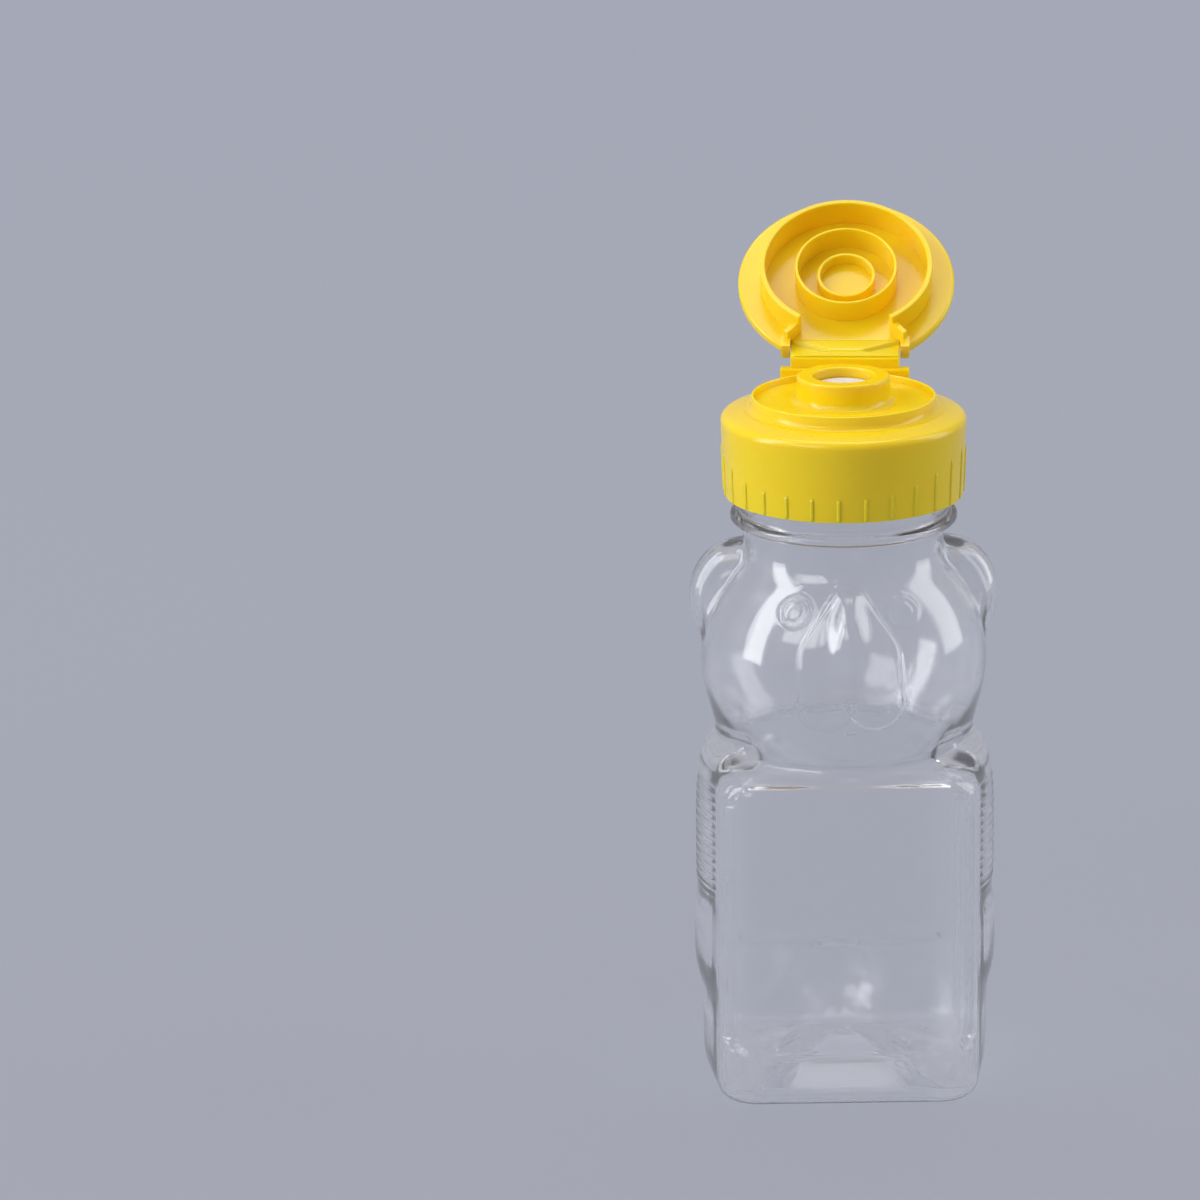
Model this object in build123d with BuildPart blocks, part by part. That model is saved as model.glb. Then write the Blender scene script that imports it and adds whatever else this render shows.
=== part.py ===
from build123d import *
import os
from math import asin, cos, degrees, radians, sin, sqrt

# Honey bear squeeze bottle with a flip lid, standing open, in millimetres.
# The origin is the centre of the rest face under the base. +Z is up and the face looks along -Y.

full_turn = 360

# Bottle body: a square blow-moulded box with a thin wall
wall = 0.7
body_width = 43.4
body_corner = 7.0
body_height = 57.0
shoulder_round = 3.5
heel_round = 2.2
panel_side_margin = 2.4
panel_bottom = 8.5
panel_top_margin = 2.6
back_panel_bottom = 14.0
panel_corner = 5.0
panel_depth = 0.9
panel_draft = 35.0
standing_ring_width = 5.2
push_up_corner = 4.5
push_up_height = 5.4
push_up_draft = 62.0

# Head, ears, muzzle and eyes. A rise is measured from the head's centre, the head's own from the body's top.
head_radius = 23.5
head_rise = 15.3
ear_half_width = 8.1
ear_half_height = 9.6
ear_thickness = 8.4
ear_edge_round = 3.4
ear_x = 17.3
ear_y = 1.0
ear_rise = 9.7
muzzle_relief = 1.8
muzzle_edge_round = 1.0
muzzle_root = 9.0
jowl_x = 4.2
jowl_rise = -2.1
jowl_radius = 4.6
cheek_x = 2.6
cheek_rise = 5.2
cheek_radius = 5.6
bridge_rise = 13.3
bridge_radius = 2.9
eye_radius = 2.7
eye_proud = 0.7
eye_x = 8.9
eye_rise = 13.1

# Arms, thighs, feet and tail, which stand out from the side and back walls
limb_y = -3.0
limb_root = 3.0
arm_reach = 3.1
arm_half_depth = 12.0
arm_bottom = 30.2
arm_rise = 2.4
arm_shares = ((0, 0), (0.75, 0.08), (1, 0.35), (0.8, 0.75), (-0.5, 1))
thigh_reach = 3.4
thigh_half_depth = 12.5
thigh_bottom = 16.6
thigh_top = 32.4
thigh_shares = ((0, 0), (0.75, 0.08), (1, 0.5), (0.8, 0.75), (0, 1))
foot_reach = 2.7
foot_half_depth = 12.0
foot_bottom = 1.6
foot_top = 17.6
foot_shares = ((0, 0), (0.75, 0.08), (1, 0.45), (0.8, 0.75), (0, 1))
tail_radius = 6.9
tail_height = 7.3
tail_sink = 2.0

# Neck finish: a 38 mm screw neck. The bead's rise starts at the neck's foot, the thread's at the bead.
neck_waist_radius = 16.3
neck_root_radius = 17.3
neck_bore_radius = 15.6
neck_length = 14.6
lip_round = 0.4
bead_radius = 18.65
bead_rise = 6.272
bead_thickness = 1.5
bead_round = 0.4
thread_pitch = 4.233
thread_height = 1.25
thread_root_width = 2.3
thread_crest_width = 1.0
thread_embed = 0.25
thread_rise = 8.2
neck_thread_turns = 1.1
cap_thread_turns = 1.05
thread_side_gap = 0.35

# Seal liner between the bottle's lip and the cap
liner_thickness = 1.2
liner_gap = 0.3

# Closure base: skirt, deck, rim, spout and hinge bracket. Rises start at the face that seats on the liner.
# Screwed home, the closure stands a little askew over the bear's face.
closure_turn = -3.6
skirt_depth = 11.3
skirt_radius = 19.6
skirt_top_radius = 20.15
skirt_rise = 1.9
skirt_edge_round = 1.3
skirt_bore_radius = 18.95
liner_seat_width = 4.6
shoulder_step = 1.53
shoulder_rise = 2.8
shoulder_blend_round = 1.0
rim_radius = 15.07
rim_thickness = 0.42
rim_rise = 5.1
rim_round = 0.15
deck_rise = 4.0
deck_thickness = 1.6
spout_radius = 7.6
spout_rise = 8.36
spout_foot_round = 1.2
spout_lip_round = 0.35
orifice_radius = 5.0
bracket_width = 21.3
bracket_back_gap = 0.4
bracket_rise = 5.4
bracket_foot_rise = 1.0
band_width = 18.0
band_thickness = 1.1
band_rise = 7.0

# Silicone valve and its retainer, inside the spout
valve_seat_rise = 5.6
valve_flange_thickness = 0.8
valve_flange_width = 1.9
valve_head_gap = 0.45
valve_wall = 0.55
valve_head_rise = 6.7
valve_dish_depth = 0.5
valve_slit_length = 5.2
valve_slit_width = 0.12
retainer_height = 1.6
snap_gap = 0.05

# Lid, drawn in its own frame, whose zero is the middle of the flange's underside
lid_rise = 8.6
lid_overhang = 3.03
lid_thickness = 1.6
lid_ceiling_depth = 0.6
lid_edge_round = 0.45
lid_wall_gap = 0.2
lid_wall_thickness = 0.9
lid_wall_depth = 4.3
lid_ring_gap = 0.45
lid_ring_thickness = 0.5
lid_ring_depth = 3.8
plug_gap = 0.1
plug_thickness = 0.6
plug_depth = 1.5
lid_lip_round = 0.2
lid_opening_width = 14.6
lid_notch_setback = 3.9
lid_lug_setback = 1.6
lid_lug_width = 1.5
lid_lug_height = 1.4
lid_lug_side_gap = 0.15
lid_web_depth = 2.9
lid_web_thickness = 0.8
lid_rib_root = 0.4

# Butterfly hinge between base and lid
hinge_setback = 2.43
hinge_rise = 7.4
open_angle = 145.5
film_thickness = 0.5
film_gap = 0.06
strap_waist_width = 5.0
strap_waist_share = 0.37
web_thickness = 0.4
web_recess = 0.55
web_tip_gap = 0.9
web_edge_gap = 0.45

# One overrun serves all cuts
cut_overrun = 5.0

# Worked out from the sizes above
body_half = body_width / 2
panel_width = body_width - 2 * panel_side_margin
panel_top = body_height - panel_top_margin
push_up_width = body_width - 2 * standing_ring_width
arm_top = body_height + arm_rise
head_centre = body_height + head_rise
neck_foot = head_centre + sqrt((head_radius - wall) ** 2 - neck_bore_radius**2)
bead_bottom = neck_foot + bead_rise
bead_top = bead_bottom + bead_thickness
neck_top = bead_bottom + neck_length
thread_start = bead_bottom + thread_rise
thread_overlap = neck_root_radius + 2 * thread_height - skirt_bore_radius
thread_flank_share = (thread_root_width - thread_crest_width) / thread_height
thread_drop = thread_crest_width + thread_flank_share * thread_overlap / 2 + thread_side_gap
deck_underside = neck_top + liner_thickness
deck_floor = deck_underside + deck_rise
spout_top = deck_underside + spout_rise
rim_top = deck_underside + rim_rise
rim_inside = rim_radius - rim_thickness
chamber_radius = orifice_radius + valve_flange_width
valve_seat = deck_underside + valve_seat_rise
valve_flange_bottom = valve_seat - valve_flange_thickness
valve_head_top = deck_underside + valve_head_rise
lid_radius = rim_radius + lid_overhang
hinge_y = rim_radius + hinge_setback
hinge_z = deck_underside + hinge_rise
bracket_back = hinge_y - bracket_back_gap
band_half = band_width / 2
band_top = deck_underside + band_rise
closure_frame = Plane(origin=(0, 0, 0), z_dir=(0, 0, 1),
                      x_dir=(cos(radians(closure_turn)), sin(radians(closure_turn)), 0))


# The lid's own frame at an opening angle: local Z points out of the lid's top, local +Y to the hinge
def lid_frame_at(angle):
    turn = radians(angle)
    behind = -hinge_y * cos(turn) + (lid_rise - hinge_rise) * sin(turn)
    above = hinge_y * sin(turn) + (lid_rise - hinge_rise) * cos(turn)
    return Plane(origin=closure_frame.from_local_coords(Vector(0, hinge_y + behind, hinge_z + above)),
                 x_dir=closure_frame.x_dir,
                 z_dir=closure_frame.y_dir * sin(turn) + closure_frame.z_dir * cos(turn))


# Turn a closed outline of (radius, height) points about the axis of a frame, each corner with its rounding
def turned_ring(points, roundings, frame=Plane.XY, mode=Mode.ADD, arc=full_turn):
    section_plane = Plane(origin=frame.origin, x_dir=frame.x_dir, z_dir=-frame.y_dir)
    with BuildSketch(section_plane) as section:
        with BuildLine():
            FilletPolyline(*points, radius=roundings, close=True)
        make_face()
    revolve(section.sketch, axis=Axis(frame.origin, frame.z_dir), revolution_arc=arc, mode=mode)


# A belly turned about an upright axis: a smooth curve of (radius, height) points, closed along the axis
def turned_belly(axis_x, axis_y, points):
    section_plane = Plane(origin=(axis_x, axis_y, 0), x_dir=(1, 0, 0), z_dir=(0, -1, 0))
    with BuildSketch(section_plane) as section:
        with BuildLine():
            Spline(*points)
            Polyline(points[-1], (0, points[-1][1]), (0, points[0][1]), points[0])
        make_face()
    revolve(section.sketch, axis=Axis((axis_x, axis_y, 0), (0, 0, 1)))


# A limb on a side wall: it stands out from the wall by reach and is 2 * half_depth long where it meets it
def limb(side, reach, half_depth, bottom, top, belly_shares, inset):
    turning_radius = (half_depth**2 + reach**2) / (2 * reach)
    axis_x = side * (body_half + reach - turning_radius)
    root = turning_radius - reach - limb_root
    low = bottom + inset
    rise = top - inset - low
    points = [(root + (reach + limb_root - inset) * across, low + rise * up) for across, up in belly_shares]
    with BuildPart() as lobe:
        turned_belly(axis_x, limb_y, points)
        with Locations((side * (body_half + reach), limb_y, low + rise / 2)):
            Box(2 * (body_half + reach), 2 * (half_depth - inset), top, mode=Mode.INTERSECT)
    return lobe.part


# A label panel sunk into the front or back wall
def sink_panel(facing, bottom, inset):
    floor_y = facing * (body_half - panel_depth - inset)
    panel_plane = Plane(origin=(0, floor_y, 0), x_dir=(-facing, 0, 0), z_dir=(0, facing, 0))
    with BuildSketch(panel_plane) as outline:
        with Locations((0, (bottom + panel_top) / 2)):
            RectangleRounded(panel_width + 2 * inset, panel_top - bottom + 2 * inset, panel_corner + inset)
    extrude(outline.sketch, amount=cut_overrun, taper=-panel_draft, mode=Mode.SUBTRACT)


# One ear: a thick oval with a rounded edge
def ear_form(side, inset):
    with BuildPart() as ear:
        with BuildSketch(Plane.XZ.offset(-ear_y - ear_thickness / 2 + inset)):
            with Locations((side * ear_x, head_centre + ear_rise)):
                Ellipse(ear_half_width - inset, ear_half_height - inset)
        extrude(amount=ear_thickness - 2 * inset)
        fillet(ear.edges(), ear_edge_round - inset)
    return ear.part


# The outline of one half of the muzzle, seen from the front: a jowl, a cheek and the bridge of the nose
def muzzle_outline(side, inset):
    with BuildSketch() as outline:
        for x, rise, radius in ((jowl_x, jowl_rise, jowl_radius), (cheek_x, cheek_rise, cheek_radius),
                                (0, bridge_rise, bridge_radius)):
            with Locations((side * x, head_centre + rise)):
                Circle(radius - inset)
        make_hull()
    return outline.sketch


# The muzzle stands out from the head to one even height, with a groove between its jowls
def muzzle_form(inset):
    with BuildPart() as muzzle:
        with BuildSketch(Plane.XZ.offset(muzzle_root)):
            for side in (-1, 1):
                add(muzzle_outline(side, inset))
        extrude(amount=head_radius)
        with Locations((0, 0, head_centre)):
            Sphere(head_radius + muzzle_relief - inset, mode=Mode.INTERSECT)
        fillet(muzzle.faces().sort_by(Axis.Y)[0].edges(), muzzle_edge_round - inset)
    return muzzle.part


# The head with its ears and muzzle
def head_form(inset):
    with BuildPart() as head:
        with Locations((0, 0, head_centre)):
            Sphere(head_radius - inset)
        for side in (-1, 1):
            add(ear_form(side, inset))
        add(muzzle_form(inset))
    return head.part


# The bear's whole form, shrunk inwards by inset: zero gives its outside, and the wall gives its hollow
def bear_form(inset):
    with BuildPart() as form:
        with BuildSketch(Plane.XY.offset(inset)):
            RectangleRounded(body_width - 2 * inset, body_width - 2 * inset, body_corner - inset)
        extrude(amount=body_height - 2 * inset)
        fillet(form.faces().sort_by(Axis.Z)[-1].edges(), shoulder_round - inset)
        fillet(form.faces().sort_by(Axis.Z)[0].edges(), heel_round - inset)
        for side in (-1, 1):
            add(limb(side, arm_reach, arm_half_depth, arm_bottom, arm_top, arm_shares, inset))
            add(limb(side, thigh_reach, thigh_half_depth, thigh_bottom, thigh_top, thigh_shares, inset))
            add(limb(side, foot_reach, foot_half_depth, foot_bottom, foot_top, foot_shares, inset))
        with Locations((0, body_half - tail_sink, tail_height)):
            Sphere(tail_radius - inset)
        sink_panel(-1, panel_bottom, inset)
        sink_panel(1, back_panel_bottom, inset)
        with BuildSketch(Plane.XY):
            RectangleRounded(push_up_width + 2 * inset, push_up_width + 2 * inset, push_up_corner + inset)
        extrude(amount=push_up_height + inset, taper=push_up_draft, mode=Mode.SUBTRACT)
        add(head_form(inset))
    return form.part


# A screw thread of trapezoid section: outward is 1 on a neck and -1 in a bore
def screw_thread(root_radius, start, turns, outward):
    embedded_width = thread_root_width + thread_flank_share * thread_embed
    with BuildPart() as thread:
        with BuildLine() as path:
            Helix(pitch=thread_pitch, height=turns * thread_pitch, radius=root_radius, center=(0, 0, start))
        with BuildSketch(Plane(origin=path.line @ 0, x_dir=(outward, 0, 0), z_dir=path.line % 0)):
            with BuildLine():
                Polyline((-thread_embed, -embedded_width / 2), (thread_height, -thread_crest_width / 2),
                         (thread_height, thread_crest_width / 2), (-thread_embed, embedded_width / 2),
                         close=True)
            make_face()
        sweep(path=path.line, is_frenet=True)
    return thread.part


# A straight block between two opposite corners, in a frame's own axes
def block(low, high, frame=Plane.XY, mode=Mode.ADD):
    with BuildSketch(frame.offset(low[2])) as outline:
        with Locations(((low[0] + high[0]) / 2, (low[1] + high[1]) / 2)):
            Rectangle(high[0] - low[0], high[1] - low[1])
    extrude(outline.sketch, amount=high[2] - low[2], mode=mode)


# Bottle: a thin shell, one piece with its neck finish
outside = bear_form(0)
hollow = bear_form(wall)
neck_thread = screw_thread(neck_root_radius, thread_start, neck_thread_turns, 1)

with BuildPart() as bottle:
    add(outside)
    for side in (-1, 1):
        outward = Vector(side * eye_x, -sqrt(head_radius**2 - eye_x**2 - eye_rise**2), eye_rise).normalized()
        eye_foot = Vector(0, 0, head_centre) + outward * (head_radius - wall)
        with BuildSketch(Plane(origin=eye_foot, z_dir=outward)):
            Circle(eye_radius)
        extrude(amount=wall + eye_proud)
    add(hollow, mode=Mode.SUBTRACT)
    turned_ring([(neck_bore_radius, neck_foot), (neck_waist_radius, neck_foot),
                 (neck_waist_radius, bead_bottom), (bead_radius, bead_bottom), (bead_radius, bead_top),
                 (neck_root_radius, bead_top), (neck_root_radius, neck_top), (neck_bore_radius, neck_top)],
                [0, 0, bead_round, bead_round, bead_round, bead_round, lip_round, lip_round])
    add(neck_thread)
    with Locations((0, 0, neck_foot - cut_overrun)):
        Cylinder(neck_bore_radius, neck_top - neck_foot + cut_overrun - lip_round,
                 align=(Align.CENTER, Align.CENTER, Align.MIN), mode=Mode.SUBTRACT)

# Seal liner: a foam ring on the lip
with BuildPart() as seal_liner:
    turned_ring([(neck_bore_radius, neck_top), (skirt_bore_radius - liner_gap, neck_top),
                 (skirt_bore_radius - liner_gap, deck_underside), (neck_bore_radius, deck_underside)],
                [0, 0, 0, 0])

# Closure base: a screw cap whose deck carries the rim, the spout and the hinge bracket
cap_thread = screw_thread(skirt_bore_radius, thread_start - thread_drop, cap_thread_turns, -1)
skirt_bottom = deck_underside - skirt_depth
skirt_top = deck_underside + skirt_rise
shoulder_top = deck_underside + shoulder_rise

with BuildPart() as closure_base:
    turned_ring([(skirt_bore_radius, skirt_bottom), (skirt_radius, skirt_bottom),
                 (skirt_top_radius, skirt_top), (rim_radius + shoulder_step, shoulder_top),
                 (rim_radius, shoulder_top), (rim_radius, rim_top), (rim_inside, rim_top),
                 (rim_inside, deck_floor),
                 (spout_radius, deck_floor), (spout_radius, spout_top), (orifice_radius, spout_top),
                 (orifice_radius, valve_seat), (chamber_radius, valve_seat),
                 (chamber_radius, deck_floor - deck_thickness),
                 (skirt_bore_radius - liner_seat_width, deck_floor - deck_thickness),
                 (skirt_bore_radius - liner_seat_width, deck_underside), (skirt_bore_radius, deck_underside)],
                [0, 0, skirt_edge_round, 0, shoulder_blend_round, rim_round, rim_round, 0,
                 spout_foot_round, spout_lip_round, spout_lip_round, 0, 0, 0, 0, 0, 0])
    add(cap_thread)
    block((-bracket_width / 2, rim_inside, deck_underside + bracket_foot_rise),
          (bracket_width / 2, bracket_back, deck_underside + bracket_rise), closure_frame)
    block((-band_half, bracket_back - band_thickness, deck_underside + bracket_foot_rise),
          (band_half, bracket_back, band_top), closure_frame)

# Valve retainer: a ring snapped into the spout's chamber
with BuildPart() as valve_retainer:
    retainer_bottom = valve_flange_bottom - retainer_height
    turned_ring([(orifice_radius, retainer_bottom), (chamber_radius - snap_gap, retainer_bottom),
                 (chamber_radius - snap_gap, valve_flange_bottom), (orifice_radius, valve_flange_bottom)],
                [0, 0, 0, 0])

# Silicone valve: a flange, a short sleeve and a dished head with a cross slit
with BuildPart() as silicone_valve:
    head_radius_outer = orifice_radius - valve_head_gap
    dish_top = valve_head_top - valve_dish_depth
    turned_ring([(chamber_radius - snap_gap, valve_flange_bottom), (chamber_radius - snap_gap, valve_seat),
                 (head_radius_outer, valve_seat), (head_radius_outer, valve_head_top),
                 (head_radius_outer - valve_wall, valve_head_top), (0, dish_top), (0, dish_top - valve_wall),
                 (head_radius_outer - valve_wall, valve_head_top - valve_wall),
                 (head_radius_outer - valve_wall, valve_flange_bottom)],
                [0] * 9)
    slit_height = valve_head_top - valve_flange_bottom
    with Locations(closure_frame.offset(valve_flange_bottom)):
        for length, width in ((valve_slit_length, valve_slit_width), (valve_slit_width, valve_slit_length)):
            Box(length, width, slit_height + cut_overrun, align=(Align.CENTER, Align.CENTER, Align.MIN),
                mode=Mode.SUBTRACT)

# Lid, open: a flat disc with a wall, a ring round the spout, a plug, and webs out to the hinge lugs
lid_frame = lid_frame_at(open_angle)
lid_wall_radius = rim_inside - lid_wall_gap
wall_inside = lid_wall_radius - lid_wall_thickness
ring_radius = spout_radius + lid_ring_gap + lid_ring_thickness
plug_radius = orifice_radius - plug_gap
notch_y = hinge_y - lid_notch_setback
lug_end_y = hinge_y - lid_lug_setback
lug_inside = band_half + lid_lug_side_gap
opening_half = lid_opening_width / 2
opening_angle = degrees(asin(opening_half / wall_inside))
wall_end_y = wall_inside * cos(radians(opening_angle))
wall_end_frame = Plane(origin=lid_frame.origin, z_dir=lid_frame.z_dir,
                       x_dir=lid_frame.y_dir * cos(radians(opening_angle))
                       - lid_frame.x_dir * sin(radians(opening_angle)))

with BuildPart() as lid:
    turned_ring([(0, lid_ceiling_depth), (wall_inside, lid_ceiling_depth), (wall_inside, 0), (lid_radius, 0),
                 (lid_radius, lid_thickness), (0, lid_thickness)],
                [0, 0, 0, lid_edge_round, lid_edge_round, 0], lid_frame)
    turned_ring([(wall_inside, -lid_wall_depth), (lid_wall_radius, -lid_wall_depth),
                 (lid_wall_radius, lid_rib_root), (wall_inside, lid_rib_root)],
                [lid_lip_round, lid_lip_round, 0, 0],
                wall_end_frame, arc=full_turn - 2 * opening_angle)
    for outer, thickness, depth in ((ring_radius, lid_ring_thickness, lid_ring_depth),
                                    (plug_radius, plug_thickness, plug_depth)):
        turned_ring([(outer - thickness, -depth), (outer, -depth), (outer, lid_ceiling_depth + lid_rib_root),
                     (outer - thickness, lid_ceiling_depth + lid_rib_root)],
                    [lid_lip_round, lid_lip_round, 0, 0], lid_frame)
    block((-lug_inside, notch_y, -cut_overrun), (lug_inside, lid_radius, lid_thickness + cut_overrun),
          lid_frame, Mode.SUBTRACT)
    for side in (-1, 1):
        lug_x = side * (lug_inside + lid_lug_width / 2)
        block((lug_x - lid_lug_width / 2, notch_y, -lid_lug_height),
              (lug_x + lid_lug_width / 2, lug_end_y, lid_thickness), lid_frame)
        web_start = Vector(side * (opening_half + lid_web_thickness / 2), wall_end_y)
        web_end = Vector(lug_x, (notch_y + lug_end_y - lid_lug_width) / 2)
        web_along = (web_end - web_start).normalized()
        web_across = Vector(-web_along.Y, web_along.X) * (lid_web_thickness / 2)
        with BuildSketch(lid_frame.offset(lid_rib_root)):
            with BuildLine():
                Polyline(web_start + web_across, web_end + web_across, web_end - web_across,
                         web_start - web_across, close=True)
            make_face()
        extrude(amount=-lid_web_depth - lid_rib_root)

# Hinge films: a strap with a waist, and at each side a triangular web set back behind it
notch_middle = lid_frame.from_local_coords(Vector(0, notch_y, 0))
film_foot = closure_frame.from_local_coords(Vector(0, bracket_back, band_top))
film_rise = notch_middle - film_foot
film_length = film_rise.length
film_plane = Plane(origin=film_foot, x_dir=closure_frame.x_dir, z_dir=closure_frame.x_dir.cross(film_rise))
waist = strap_waist_width / 2
waist_height = strap_waist_share * film_length

with BuildPart() as hinge_strap:
    with BuildSketch(film_plane):
        with BuildLine():
            Polyline((-band_half, film_gap), (band_half, film_gap), (waist, waist_height),
                     (band_half, film_length - film_gap), (-band_half, film_length - film_gap),
                     (-waist, waist_height), close=True)
        make_face()
    extrude(amount=film_thickness / 2, both=True)


def hinge_web(side):
    with BuildPart() as web:
        with BuildSketch(film_plane.offset(-web_recess)):
            with BuildLine():
                Polyline((side * (waist + web_tip_gap), waist_height), (side * band_half, web_edge_gap),
                         (side * band_half, film_length - web_edge_gap), close=True)
            make_face()
        extrude(amount=web_thickness / 2, both=True)
    return web


hinge_web_left = hinge_web(-1)
hinge_web_right = hinge_web(1)

os.makedirs("parts", exist_ok=True)
bottle.part.label = "bottle"
export_step(bottle.part, "parts/bottle.step")
seal_liner.part.label = "seal_liner"
export_step(seal_liner.part, "parts/seal_liner.step")
closure_base.part.label = "closure_base"
export_step(closure_base.part, "parts/closure_base.step")
valve_retainer.part.label = "valve_retainer"
export_step(valve_retainer.part, "parts/valve_retainer.step")
silicone_valve.part.label = "silicone_valve"
export_step(silicone_valve.part, "parts/silicone_valve.step")
lid.part.label = "lid"
export_step(lid.part, "parts/lid.step")
hinge_strap.part.label = "hinge_strap"
export_step(hinge_strap.part, "parts/hinge_strap.step")
hinge_web_left.part.label = "hinge_web_left"
export_step(hinge_web_left.part, "parts/hinge_web_left.step")
hinge_web_right.part.label = "hinge_web_right"
export_step(hinge_web_right.part, "parts/hinge_web_right.step")

print("Bottle holds about", round(hollow.volume / 1000), "ml below the neck")
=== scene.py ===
import math
import bpy
import numpy as np
from mathutils import Matrix, Vector


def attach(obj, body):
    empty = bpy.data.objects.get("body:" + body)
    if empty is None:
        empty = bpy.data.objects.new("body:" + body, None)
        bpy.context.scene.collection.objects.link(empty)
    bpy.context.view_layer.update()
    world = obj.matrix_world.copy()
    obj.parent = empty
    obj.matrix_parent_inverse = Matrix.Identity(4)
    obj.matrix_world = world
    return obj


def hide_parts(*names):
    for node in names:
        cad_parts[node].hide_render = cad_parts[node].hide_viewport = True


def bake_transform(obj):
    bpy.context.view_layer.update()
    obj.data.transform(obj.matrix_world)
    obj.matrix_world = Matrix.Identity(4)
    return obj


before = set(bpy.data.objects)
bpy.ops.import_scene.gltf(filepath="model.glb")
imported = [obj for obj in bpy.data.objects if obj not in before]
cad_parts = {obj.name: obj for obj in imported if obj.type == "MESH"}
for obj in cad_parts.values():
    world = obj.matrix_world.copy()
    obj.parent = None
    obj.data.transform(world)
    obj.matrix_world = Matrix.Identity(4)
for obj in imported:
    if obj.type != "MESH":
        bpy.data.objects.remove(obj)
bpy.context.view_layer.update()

# Honey bear squeeze bottle, standing open. The bear looks along -Y.
# The tables are in millimetres and degrees, but the floor and the lights are in metres.

mm = 0.001
rightAngle = 90.0
fullTurn = 360.0


def addObject(name, data):
    item = bpy.data.objects.new(name, data)
    bpy.context.scene.collection.objects.link(item)
    return item


viewpoint = {"place": (-48.984, -1005.144, 376.718), "aim": (-40.101, 0.0, 81.667), "lens": 190.94,
             "sensor": 36.0, "roll": -0.648, "near": 0.05, "far": 60.0}


def frameAxes(place, aim, roll):
    forward = (aim - place).normalized()
    level = forward.cross(Vector((0, 0, 1))).normalized()
    upright = level.cross(forward)
    right = level * math.cos(roll) + upright * math.sin(roll)
    up = upright * math.cos(roll) - level * math.sin(roll)
    return right, up, -forward


def makeCamera():
    data = bpy.data.cameras.new("camera")
    data.lens = viewpoint["lens"]
    data.sensor_width = viewpoint["sensor"]
    data.clip_start = viewpoint["near"]
    data.clip_end = viewpoint["far"]
    camera = addObject("camera", data)
    place = Vector(viewpoint["place"]) * mm
    axes = frameAxes(place, Vector(viewpoint["aim"]) * mm, math.radians(viewpoint["roll"]))
    camera.matrix_world = Matrix.Translation(place) @ Matrix(axes).transposed().to_4x4()
    bpy.context.scene.camera = camera


makeCamera()
bpy.context.scene.view_settings.view_transform = "Standard"
print("camera placed")


def addNode(tree, kind, inputs=None, **settings):
    node = tree.nodes.new(kind)
    for key, value in settings.items():
        setattr(node, key, value)
    for key, value in (inputs or {}).items():
        if isinstance(value, bpy.types.NodeSocket):
            tree.links.new(value, node.inputs[key])
        else:
            node.inputs[key].default_value = value
    return node


def newMaterial(name):
    material = bpy.data.materials.new(name)
    material.use_nodes = True
    material.node_tree.nodes.clear()
    return material, material.node_tree


def objectPlace(tree):
    return addNode(tree, "ShaderNodeTexCoord").outputs["Object"]


def noiseAt(tree, place, scale, detail):
    inputs = {"Vector": place, "Scale": scale, "Detail": detail}
    return addNode(tree, "ShaderNodeTexNoise", inputs).outputs["Fac"]


def spanOf(tree, value, low, high, fromLow=0.3, fromHigh=0.7):
    return addNode(tree, "ShaderNodeMapRange", {"Value": value, "From Min": fromLow, "From Max": fromHigh,
                                                "To Min": low, "To Max": high}).outputs["Result"]


def mathNode(tree, operation, first, second=0.0):
    return addNode(tree, "ShaderNodeMath", {0: first, 1: second}, operation=operation).outputs[0]


def blendColours(tree, share, first, second):
    # Sockets 6 and 7 of a Mix node are its two colours
    return addNode(tree, "ShaderNodeMix", {"Factor": share, 6: first, 7: second}, data_type="RGBA").outputs[2]


def bumpOf(tree, height, depth, strength, below=None):
    inputs = {"Height": height, "Distance": depth * mm, "Strength": strength}
    if below is not None:
        inputs["Normal"] = below
    return addNode(tree, "ShaderNodeBump", inputs).outputs["Normal"]


def mixShaders(tree, share, first, second):
    return addNode(tree, "ShaderNodeMixShader", {0: share, 1: first, 2: second}).outputs["Shader"]


def endMaterial(tree, shader):
    addNode(tree, "ShaderNodeOutputMaterial", {"Surface": shader})


def meshObject(name, points, faces, material):
    mesh = bpy.data.meshes.new(name)
    mesh.from_pydata([tuple(point) for point in points], [], faces)
    mesh.materials.append(material)
    mesh.polygons.foreach_set("use_smooth", [True] * len(mesh.polygons))
    mesh.update()
    return addObject(name, mesh)


def sheetFaces(rows, columns):
    starts = [row * columns + column for row in range(rows - 1) for column in range(columns - 1)]
    return [(start, start + 1, start + columns + 1, start + columns) for start in starts]


def bandFaces(first, rows, columns):
    faces = []
    for row in range(rows - 1):
        low, high = first + row * columns, first + (row + 1) * columns
        for column in range(columns):
            after = (column + 1) % columns
            faces.append((low + column, low + after, high + after, high + column))
    return faces


# Paper floor, seen at an even brightness with painted shade that darkens from far to near, with part of the
# shadow kept
floor = {"reach": 9.0, "steps": 24, "colour": (0.36, 0.375, 0.43, 1), "near": (0.362, 0.375, 0.436, 1),
         "far": (0.425, 0.455, 0.55, 1), "nearEdge": -0.15, "farEdge": 1.3, "evenShare": 0.72,
         "evenStrength": 1.0, "grain": (900.0, 3.0), "grainBump": (0.05, 0.2), "roughness": (0.5, 0.62),
         "shine": 0.2}
surround = {"colour": (0.41, 0.405, 0.44, 1), "strength": 1.0}


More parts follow.
